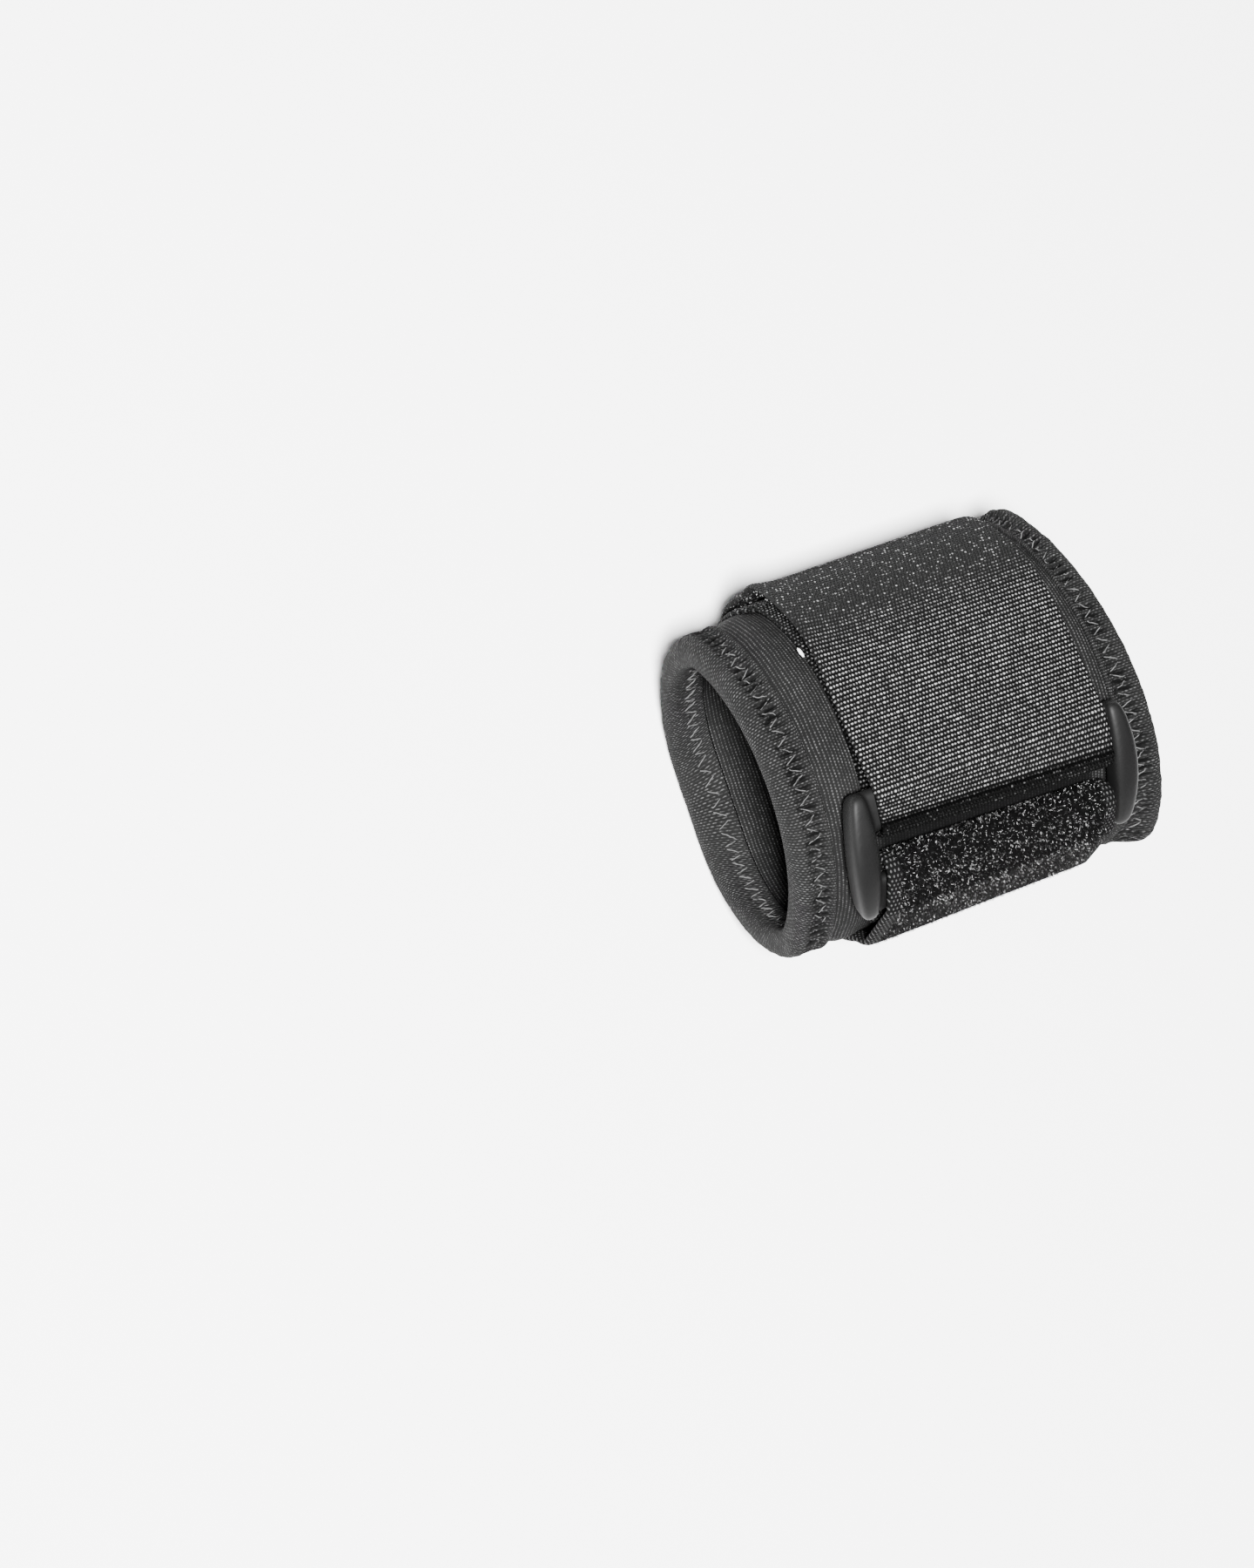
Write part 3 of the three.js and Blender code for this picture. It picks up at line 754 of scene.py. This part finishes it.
def makeBinding(name, node, rim, sign, seed):
    lengths = outlineLengths(rim, bindingOut)
    around = lengths[-1]
    stitches = round(around / bindingLook["stitchPitch"])
    stretch = stitches * bindingLook["stitchPitch"] / around

    def rowTurn(row):
        return turnAtLength(lengths, around * row / bindingLook["rows"])

    def place(column, row):
        at = bindingAt(column)
        inward = read(bindingProfile, "inward", at)
        out = read(bindingProfile, "out", at)
        length = around * (row % bindingLook["rows"]) / bindingLook["rows"] * stretch
        pucker = puckerAt(inward, length, seed)
        upper = smooth(0.5, 2.5, at) * (1 - smooth(8, 10.5, at))
        lower = smooth(9.5, 11.5, at) * (1 - smooth(14, 15.5, at))
        out += pucker * upper - pucker * 0.4 * lower
        return onWrist(rim + sign * inward, rowTurn(row), out)[0]

    def flat(column, row):
        return 20 * bindingAt(column) / 21, around * row / bindingLook["rows"]

    # Painted shade in the gathered creases, kept on the binding as its mark
    def creaseShade(column, row):
        at = bindingAt(column)
        if at > 9:
            return 0.0
        length = around * (row % bindingLook["rows"]) / bindingLook["rows"] * stretch
        return creaseAt(read(bindingProfile, "inward", at), length, seed)

    strip = finished(
        bentGrid(bindingLook["columns"], bindingLook["rows"], place, flat, creaseShade),
        name,
        knitFinish(name + "_knit", bindingLook["tone"], 0.55, True),
        [node],
    )

    # The zigzag, inside and outside; each stitch dives at its ends
    def threadPath(outside):
        path = []
        steps = stitches * 12
        for i in range(steps + 1):
            length = around * stretch * i / steps
            turn = turnAtLength(lengths, around * (i % steps) / steps)
            inward = stitchInward(length)
            dive = abs(math.cos(math.pi * 2 * length / bindingLook["stitchPitch"])) ** 6
            if outside:
                at = 5.6 - (inward - 2.8) * 0.72
                out = read(bindingProfile, "out", at) + puckerAt(inward, length, seed) + 0.12 - 0.45 * dive
            else:
                out = -1.1 - 0.1 - puckerAt(inward, length, seed) * 0.4 + 0.3 * dive
            point, angle = onWrist(rim + sign * inward, turn, out)
            path.append((point, outward(angle)))
        return path

    threads = bmesh.new()
    for outside in (True, False):
        threads.from_mesh(threadMesh(threadPath(outside), bindingLook["thread"]))
    mesh = bpy.data.meshes.new(name + "_zigzag")
    threads.to_mesh(mesh)
    threads.free()
    zigzag = finished(mesh, name + "_zigzag", threadFinish(name + "_thread", bindingLook["threadTone"]))


makeBinding("hand_rim_binding", "hand_edge_binding", handRim, 1, 3)
makeBinding("forearm_rim_binding", "forearm_edge_binding", forearmRim, -1, 11)

print("ring")
ringBend = wrist["rise"] + crownSink + overPile + ring["crossThickness"] / 2
crossMiddle = (ring["slotWidth"] + ring["crossWidth"]) / 2
crownMiddle = Vector((straps["offset"], 0, centreHeight - crownSink))


def onCrown(degrees, radius):
    return crownMiddle + outward(math.radians(degrees)) * radius


def bendRound(x, along, up):
    radius = ringBend + up
    return Vector((x, -radius * math.sin(along / ringBend), radius * math.cos(along / ringBend) - ringBend))


def crossbarPlace(side):
    flat = (ring["crossWidth"] - ring["crossThickness"]) / 2
    length = ring["slotLength"] + ring["endWidth"]

    def place(column, row):
        angle = 2 * math.pi * column / 32
        along = math.cos(angle) * ring["crossThickness"] / 2
        along += flat * max(-1, min(1, 4 * math.cos(angle)))
        up = math.sin(angle) * ring["crossThickness"] / 2
        return bendRound(length * (row / 24 - 0.5), side * crossMiddle + along, up)

    return place


def endBarPlace(side):
    reach = ring["slotWidth"] / 2 + ring["crossWidth"] + ring["endOverhang"]
    height = (ring["endBelow"] + ring["endAbove"]) / 2
    middle = (ring["endAbove"] - ring["endBelow"]) / 2

    def place(column, row):
        angle = 2 * math.pi * column / 40
        t = 2 * row / 48 - 1
        t = math.copysign(1 - (1 - abs(t)) ** 1.6, t) * 0.9995
        width = ring["endWidth"] - ring["endBow"] * t * t
        taper = (1 - abs(t) ** 12) ** (1 / 3)
        across = math.copysign(abs(math.cos(angle)) ** 0.6, math.cos(angle))
        rise = math.copysign(abs(math.sin(angle)) ** 0.6, math.sin(angle))
        swell = ring["swell"][side] * (1 - t * t) ** 2 if across < 0 else 0
        x = side * (ring["slotLength"] / 2 + (width + across * width * taper) / 2 + across * swell)
        return bendRound(x, t * reach, middle + rise * height * taper)

    return place


ringShape = bmesh.new()
for side in (-1, 1):
    ringShape.from_mesh(bentGrid(32, 24, crossbarPlace(side)))
    ringShape.from_mesh(bentGrid(40, 48, endBarPlace(side)))
roughRing = bpy.data.meshes.new("ring")
ringShape.to_mesh(roughRing)
ringShape.free()
holder = bpy.data.objects.new("ring", roughRing)
bpy.context.scene.collection.objects.link(holder)
remesh = holder.modifiers.new("fuse", "REMESH")
remesh.mode = "VOXEL"
remesh.voxel_size = ring["voxel"] * mm
soften = holder.modifiers.new("fillets", "SMOOTH")
soften.factor = 0.5
soften.iterations = ring["soften"]
fused = bpy.data.meshes.new_from_object(holder.evaluated_get(bpy.context.evaluated_depsgraph_get()))
bpy.data.objects.remove(holder)
ringPlace = onCrown(ring["angle"], ringBend)
ringPlace.x = straps["offset"] + ring["shift"]
fused.transform(
    Matrix.Translation(ringPlace * mm) @ Matrix.Rotation(math.radians(ring["angle"] - 90), 4, "X")
)
strapRing = finished(
    fused, "bent_strap_ring", plasticFinish("satin_plastic", ring["tone"]), ["strap_ring"]
)


# A strap is a list of stations; each gives a point for a place across it and a height off its middle
def runStation(turn, out, drift, facing):
    def place(across, height):
        rise = out(across, turn) if callable(out) else out
        return onWrist(straps["offset"] + drift(turn) + across, turn, rise + facing * height)[0]

    return place


def foldStation(centre, radius, degrees, drift, slack=None):
    direction = outward(math.radians(degrees))

    def place(across, height):
        point = centre + direction * (radius + height)
        if slack:
            side, along = slack
            point += along * straps["slack"] * (0.5 - side * across / straps["width"])
        point.x = straps["offset"] + drift + across
        return point

    return place


def mixedStation(first, second, t):
    return lambda across, height: first(across, height).lerp(second(across, height), t)


def stationsAlong(first, second, steps):
    return [mixedStation(first, second, (i + 1) / steps) for i in range(steps - 1)]


def stationTurns(start, end, step=0.03):
    count = max(2, round(abs(end - start) / step))
    return [between(start, end, i / count) for i in range(count + 1)]


# Where a run leaves the wrist in a straight line for a fold
def leavingAngle(centre, foot, out, distance, side):
    near, far = foot, foot + side * 70
    for _ in range(40):
        middle = (near + far) / 2
        point, angle = onWrist(straps["offset"], turnAt(middle), out)
        clear = (point.y - centre.y) * math.cos(angle) + (point.z - centre.z) * math.sin(angle)
        if clear < distance:
            near = middle
        else:
            far = middle
    return near


def foldOverBar(side, thickness, underDrift, overDrift, underOut, overOut):
    radius = ring["crossThickness"] / 2 + wrist["gap"] + thickness / 2
    barAngle = ring["angle"] + side * math.degrees(crossMiddle / ringBend)
    along = outward(math.radians(barAngle + 90))
    flat = (ring["crossWidth"] - ring["crossThickness"]) / 2
    slotCentre = onCrown(barAngle, ringBend) - along * side * flat
    outerCentre = onCrown(barAngle, ringBend) + along * side * flat
    footShift = math.degrees(flat / ringBend)
    underAngle = leavingAngle(slotCentre, barAngle - side * footShift, underOut, -radius, side)
    overAngle = leavingAngle(outerCentre, barAngle + side * footShift, overOut, radius, side)
    slack = (side, along * -side)
    stations = []
    for i in range(33):
        degrees = between(underAngle - side * 180, barAngle, i / 32)
        stations.append(foldStation(slotCentre, radius, degrees, between(underDrift, overDrift, i / 32), slack))
    for i in range(9):
        degrees = between(barAngle, overAngle, i / 8)
        stations.append(foldStation(outerCentre, radius, degrees, overDrift))
    return stations, turnAt(underAngle), turnAt(overAngle)


def driftTable(rows):
    table = [{"at": turnAt(degrees), "drift": drift} for degrees, drift in rows]
    return lru_cache(maxsize=None)(lambda turn: read(table, "drift", turn))


innerDrift = driftTable([(straps["innerEnd"], -3), (-8, -3), (40, 0.6), (80, 0.2), (ring["angle"], -0.6)])
outerDrift = driftTable([(straps["outerEnd"], -1), (0, 0), (90, 0.1), (ring["angle"], -0.3)])


# The outer run's underside: on the inner run, over the hook patch, then over pile and hook
@lru_cache(maxsize=None)
def outerLevels(turn):
    near, far = straps["ease"]
    starts, full, falls, ends = (turnAt(degrees) for degrees in straps["liftAngles"])
    hook = 1 - smooth(turnAt(straps["hookStart"] + near), turnAt(straps["hookStart"] + far), turn)
    pile = 1 - smooth(turnAt(straps["innerEnd"] + near), turnAt(straps["innerEnd"] + far), turn)
    lift = smooth(starts, full, turn) * (1 - smooth(falls, ends, turn))
    return overInner + hook * (overHook - overInner) + pile * (overBoth - overHook), straps["lift"] * lift


def outerUnderside(across, turn):
    level, lift = outerLevels(turn)
    fromEdge = max(0, 1 - (across + straps["width"] / 2) / straps["liftWidth"])
    return level + lift * fromEdge * fromEdge


class Route:
    def __init__(self, stations):
        self.stations = stations
        self.lengths = [0.0]
        points = [station(0, 0) for station in stations]
        for before, after in zip(points, points[1:]):
            self.lengths.append(self.lengths[-1] + (after - before).length)
        self.length = self.lengths[-1]

    def at(self, length):
        i = min(max(bisect_right(self.lengths, length) - 1, 0), len(self.lengths) - 2)
        t = share(self.lengths[i], self.lengths[i + 1], length)
        return mixedStation(self.stations[i], self.stations[i + 1], t)


edgeShares = [0.75, 0.84, 0.89, 0.93, 0.97, 0.992, 1]
topShares = [-value for value in reversed(edgeShares)] + [-0.62, -0.48, -0.3, -0.1, 0.1, 0.35, 0.6] + edgeShares
loopShares = [(value, 1) for value in topShares] + [(value, -1) for value in reversed(topShares[1:-1])] + [(-1, 1)]


# A woven strip along a route; relief adds to its faces in millimetres
def strapMesh(route, rows, width, thickness, relief, mark=None):
    columns = len(loopShares) - 1
    stations = [route.at(route.length * row / rows) for row in range(rows + 1)]

    def place(column, row):
        value, face = loopShares[column]
        rounding = max(0, 1 - abs(value) ** 60) ** 0.5
        length = route.length * row / rows
        height, spread = relief(value, length, face)
        return stations[row](value * width / 2 + spread, face * (thickness / 2 * rounding + height * rounding))

    def flat(column, row):
        value, _ = loopShares[column]
        return value * width / 2, route.length * row / rows

    def markCell(column, row):
        value, face = loopShares[column]
        return mark(value, route.length * row / rows, face)

    return bentGrid(columns, rows, place, flat, markCell if mark else None)


print("ribbed strap")
webbing = {
    "pitch": 0.86,
    "rib": 0.2,
    "tone": 0.3,
    "edge": 0.05,
    "highlightFrom": (-9.5, -8),  # from the end of the fold, where the painted highlight on the weave sets in
    "tautTo": (19, 38),  # and where the painted highlight fades
}
inner = firstLayer + straps["thickness"] / 2
fold, underTurn, overTurn = foldOverBar(
    -1,
    straps["thickness"],
    innerDrift(turnAt(ring["angle"])),
    outerDrift(turnAt(ring["angle"])),
    inner,
    overInner + straps["thickness"] / 2,
)


def outerMiddle(across, turn):
    return outerUnderside(across, turn) + straps["thickness"] / 2


innerRun = [runStation(turn, inner, innerDrift, -1) for turn in stationTurns(turnAt(straps["innerEnd"]), underTurn)]
outerRun = [runStation(turn, outerMiddle, outerDrift, 1) for turn in stationTurns(overTurn, turnAt(straps["outerEnd"]))]
ribbedRoute = Route(
    innerRun
    + stationsAlong(innerRun[-1], fold[0], 8)
    + fold
    + stationsAlong(fold[-1], outerRun[0], 8)
    + outerRun
)
ribCount = round(ribbedRoute.length / webbing["pitch"])


def ribRelief(value, length, face):
    crest = abs(math.sin(math.pi * length * ribCount / ribbedRoute.length)) ** 0.8
    return webbing["rib"] * (crest - 1), math.copysign(webbing["edge"] * crest, value) if abs(value) > 0.98 else 0


# Along the strap: the painted highlight runs from past the fold over the crossbar until it turns down over the thumb
# side
foldEnd = ribbedRoute.lengths[len(innerRun) + 7 + len(fold)]
highlightStretch = [foldEnd + reach for reach in (*webbing["highlightFrom"], *webbing["tautTo"])]
ribbedStrap = finished(
    strapMesh(ribbedRoute, ribCount * 4, straps["width"], straps["thickness"], ribRelief),
    "ribbed_webbing_strap",
    webbingFinish("ribbed_webbing", webbing["tone"], ribbedRoute.length / ribCount, highlightStretch),
    ["ribbed_strap"],
)

print("pile strap")
pile = {
    "tone": 0.0015,
    "selvedge": 2.6,
    "density": 13500000,  # loops to the square metre
    "thinning": 0.6,  # fewer stand on the way to the palm
    "height": 0.4,
    "spread": 0.37,
    "yarn": 0.055,
    "dark": 0.001,
    "pale": 0.42,
    "rarity": 13,  # the higher, the fewer loops are pale
    "seed": 5,
}
pileUnder = firstLayer + straps["pileThickness"] / 2
pileOver = pileUnder + straps["pileThickness"] + wrist["gap"]


def pileDrift(turn):
    return straps["pileDrift"]


@lru_cache(maxsize=None)
def pileLevel(turn):
    near, far = straps["pileEase"]
    eased = smooth(turnAt(straps["pileUnderEnd"] + near), turnAt(straps["pileUnderEnd"] + far), turn)
    return between(pileOver, pileUnder, eased)


def pileMiddle(across, turn):
    return pileLevel(turn)


pileFold, pileUnderTurn, pileOverTurn = foldOverBar(
    1, straps["pileThickness"], straps["pileDrift"], straps["pileDrift"], pileUnder, pileOver
)
pileTopTurns = stationTurns(turnAt(straps["pileEnd"]), pileOverTurn)
pileTop = [runStation(turn, pileMiddle, pileDrift, 1) for turn in pileTopTurns]
pileBack = [
    runStation(turn, pileUnder, pileDrift, -1) for turn in stationTurns(pileUnderTurn, turnAt(straps["pileUnderEnd"]))
]
pileBend = pileFold[::-1]
pileRoute = Route(
    pileTop
    + stationsAlong(pileTop[-1], pileBend[0], 8)
    + pileBend
    + stationsAlong(pileBend[-1], pileBack[0], 8)
    + pileBack
)


def plainRelief(value, length, face):
    return 0, 0


# Loops stand where the pile shows: from the end of the strap above it, over the fold, up to the bare selvedges
hiddenTurn = turnAt(360 + straps["outerEnd"] + 2)
loopsFrom = sum(turn > hiddenTurn for turn in pileTopTurns)
loopsTo = len(pileTop) + 7 + len(pileBend) - 6


def pileMark(value, length, face):
    shown = pileRoute.lengths[loopsFrom] < length < pileRoute.lengths[loopsTo]
    if not shown or face < 0 or abs(value) > 0.9:
        return 0.0
    return 1 - pile["thinning"] * smooth(9, 24, pileRoute.lengths[loopsTo] - length)


# One yarn standing as an open loop, a flat ribbon bent over; the copies are turned and sized at random
def yarnLoop(width, height, yarn, steps):
    bm = bmesh.new()
    bmesh.ops.create_grid(bm, x_segments=steps, y_segments=1, size=0.5)
    for vert in bm.verts:
        angle = math.pi * (vert.co.x + 0.5) * 1.15
        across = vert.co.y * yarn
        vert.co = Vector((-math.cos(angle) * width / 2, across, math.sin(angle) * height)) * mm
    mesh = bpy.data.meshes.new("loop")
    bm.to_mesh(mesh)
    bm.free()
    loop = bpy.data.objects.new("loop", mesh)
    bpy.context.scene.collection.objects.link(loop)
    return loop


# Loops scattered over a strap wherever its mesh is marked for them
def scatterLoops(strap, name, look):
    loop = yarnLoop(look["spread"], look["height"], look["yarn"], 4)
    seed = look["seed"]
    group = bpy.data.node_groups.new(name, "GeometryNodeTree")
    group.interface.new_socket("Geometry", in_out="INPUT", socket_type="NodeSocketGeometry")
    group.interface.new_socket("Geometry", in_out="OUTPUT", socket_type="NodeSocketGeometry")
    tree = Tree(group)
    ground = tree.node("NodeGroupInput")
    chosen = tree.node("GeometryNodeInputNamedAttribute", {"data_type": "FLOAT"}, {"Name": "clothMark"})
    scatter = tree.node(
        "GeometryNodeDistributePointsOnFaces",
        {"distribute_method": "RANDOM"},
        {"Mesh": ground, "Density": chosen * look["density"], "Seed": seed},
    )
    turn = Wire(tree, scatter.socket.node.outputs["Rotation"])
    lean = tree.node(
        "FunctionNodeRandomValue",
        {"data_type": "FLOAT_VECTOR"},
        {0: (-0.75, -0.75, -3.14), 1: (0.75, 0.75, 3.14), "Seed": seed + 1},
    )
    leaning = tree.node(
        "FunctionNodeRotateRotation",
        {"rotation_space": "LOCAL"},
        {"Rotation": turn, "Rotate By": tree.node("FunctionNodeEulerToRotation", {}, {"Euler": lean})},
    )
    size = tree.node(
        "FunctionNodeRandomValue", {"data_type": "FLOAT"}, {2: 0.45, 3: 1.15, "Seed": seed + 2}, 1
    )
    shade = tree.node("FunctionNodeRandomValue", {"data_type": "FLOAT"}, {2: 0.0, 3: 1.0, "Seed": seed + 3}, 1)
    shape = tree.node("GeometryNodeObjectInfo", {"transform_space": "ORIGINAL"}, {"Object": loop})
    shape = Wire(tree, shape.socket.node.outputs["Geometry"])
    copies = tree.node(
        "GeometryNodeInstanceOnPoints",
        {},
        {"Points": scatter, "Instance": shape, "Rotation": leaning, "Scale": size},
    )
    shaded = tree.node(
        "GeometryNodeStoreNamedAttribute",
        {"data_type": "FLOAT", "domain": "INSTANCE"},
        {"Geometry": copies, "Name": "shade", "Value": shade ** look["rarity"]},
    )
    real = tree.node("GeometryNodeRealizeInstances", {}, {"Geometry": shaded})
    tree.node("NodeGroupOutput", {}, {"Geometry": real})
    holder = bpy.data.objects.new("scatter", strap.data.copy())
    bpy.context.scene.collection.objects.link(holder)
    modifier = holder.modifiers.new("loops", "NODES")
    modifier.node_group = group
    made = bpy.data.meshes.new_from_object(holder.evaluated_get(bpy.context.evaluated_depsgraph_get()))
    bpy.data.objects.remove(holder)
    bpy.data.objects.remove(loop)
    return made


pileStrap = finished(
    strapMesh(pileRoute, 420, straps["width"], straps["pileThickness"], plainRelief, pileMark),
    "pile_webbing_strap",
    pileFinish("loop_pile", pile["tone"], straps["width"] / 2 - pile["selvedge"]),
    ["pile_strap"],
)
pileLoops = finished(
    scatterLoops(pileStrap, "pile_loops", pile),
    "pile_yarn_loops",
    yarnFinish("pile_yarn", pile["dark"], pile["pale"]),
)

print("white speck")
# A small pale ragged blob beside the outer strap's edge
whiteSpeck = {
    "degrees": 52,
    "across": -25.9,
    "height": 1.1,
    "length": 2.3,
    "width": 0.7,
    "thickness": 0.5,
    "ragged": 0.35,
    "tone": 0.7,
}
speckShape = bmesh.new()
bmesh.ops.create_icosphere(speckShape, subdivisions=3, radius=0.5)
speckMiddle, speckAngle = onWrist(
    straps["offset"] + whiteSpeck["across"], turnAt(whiteSpeck["degrees"]), overInner + whiteSpeck["height"]
)
speckOut = outward(speckAngle)
speckAlong = outward(speckAngle - math.pi / 2)
for vert in speckShape.verts:
    ragged = 1 + whiteSpeck["ragged"] * noise.noise(vert.co * 5)
    along = vert.co.x * whiteSpeck["length"] * ragged
    beside = vert.co.y * whiteSpeck["width"] * ragged
    up = vert.co.z * whiteSpeck["thickness"]
    vert.co = (speckMiddle + speckAlong * along + Vector((1, 0, 0)) * beside + speckOut * up) * mm
speckMesh = bpy.data.meshes.new("speck")
speckShape.to_mesh(speckMesh)
speckShape.free()
finished(speckMesh, "loose_thread_end", yarnFinish("white_speck_finish", whiteSpeck["tone"], whiteSpeck["tone"]))

print("hook patch")


def hookMiddle(across, turn):
    return outerUnderside(across, turn) - wrist["gap"] - straps["hookThickness"] / 2


hookRoute = Route(
    [
        runStation(turn, hookMiddle, outerDrift, 1)
        for turn in stationTurns(turnAt(straps["hookStart"]), turnAt(straps["hookEnd"]))
    ]
)
hookWidth = straps["width"] - 2 * straps["hookInset"]


# Lint has caught in the hooks along the lifted edge
hookLook = {
    "tone": 0.003,
    "density": 2200000,
    "height": 0.25,
    "spread": 0.5,
    "yarn": 0.11,
    "dark": 0.006,
    "pale": 0.6,
    "rarity": 5,
    "seed": 41,
}


def hookMark(value, length, face):
    nearLift = 0.02 < length / hookRoute.length < 0.45
    return 1.0 if value < -0.9 and nearLift else 0.0


hookPatch = finished(
    strapMesh(hookRoute, 300, hookWidth, straps["hookThickness"], plainRelief, hookMark),
    "hook_tape_patch",
    pileFinish("hook_tape", hookLook["tone"], straps["width"]),
    ["hook_patch"],
)
hookLint = finished(
    scatterLoops(hookPatch, "hook_lint", hookLook),
    "hook_tape_lint",
    yarnFinish("lint", hookLook["dark"], hookLook["pale"]),
)

print("done")
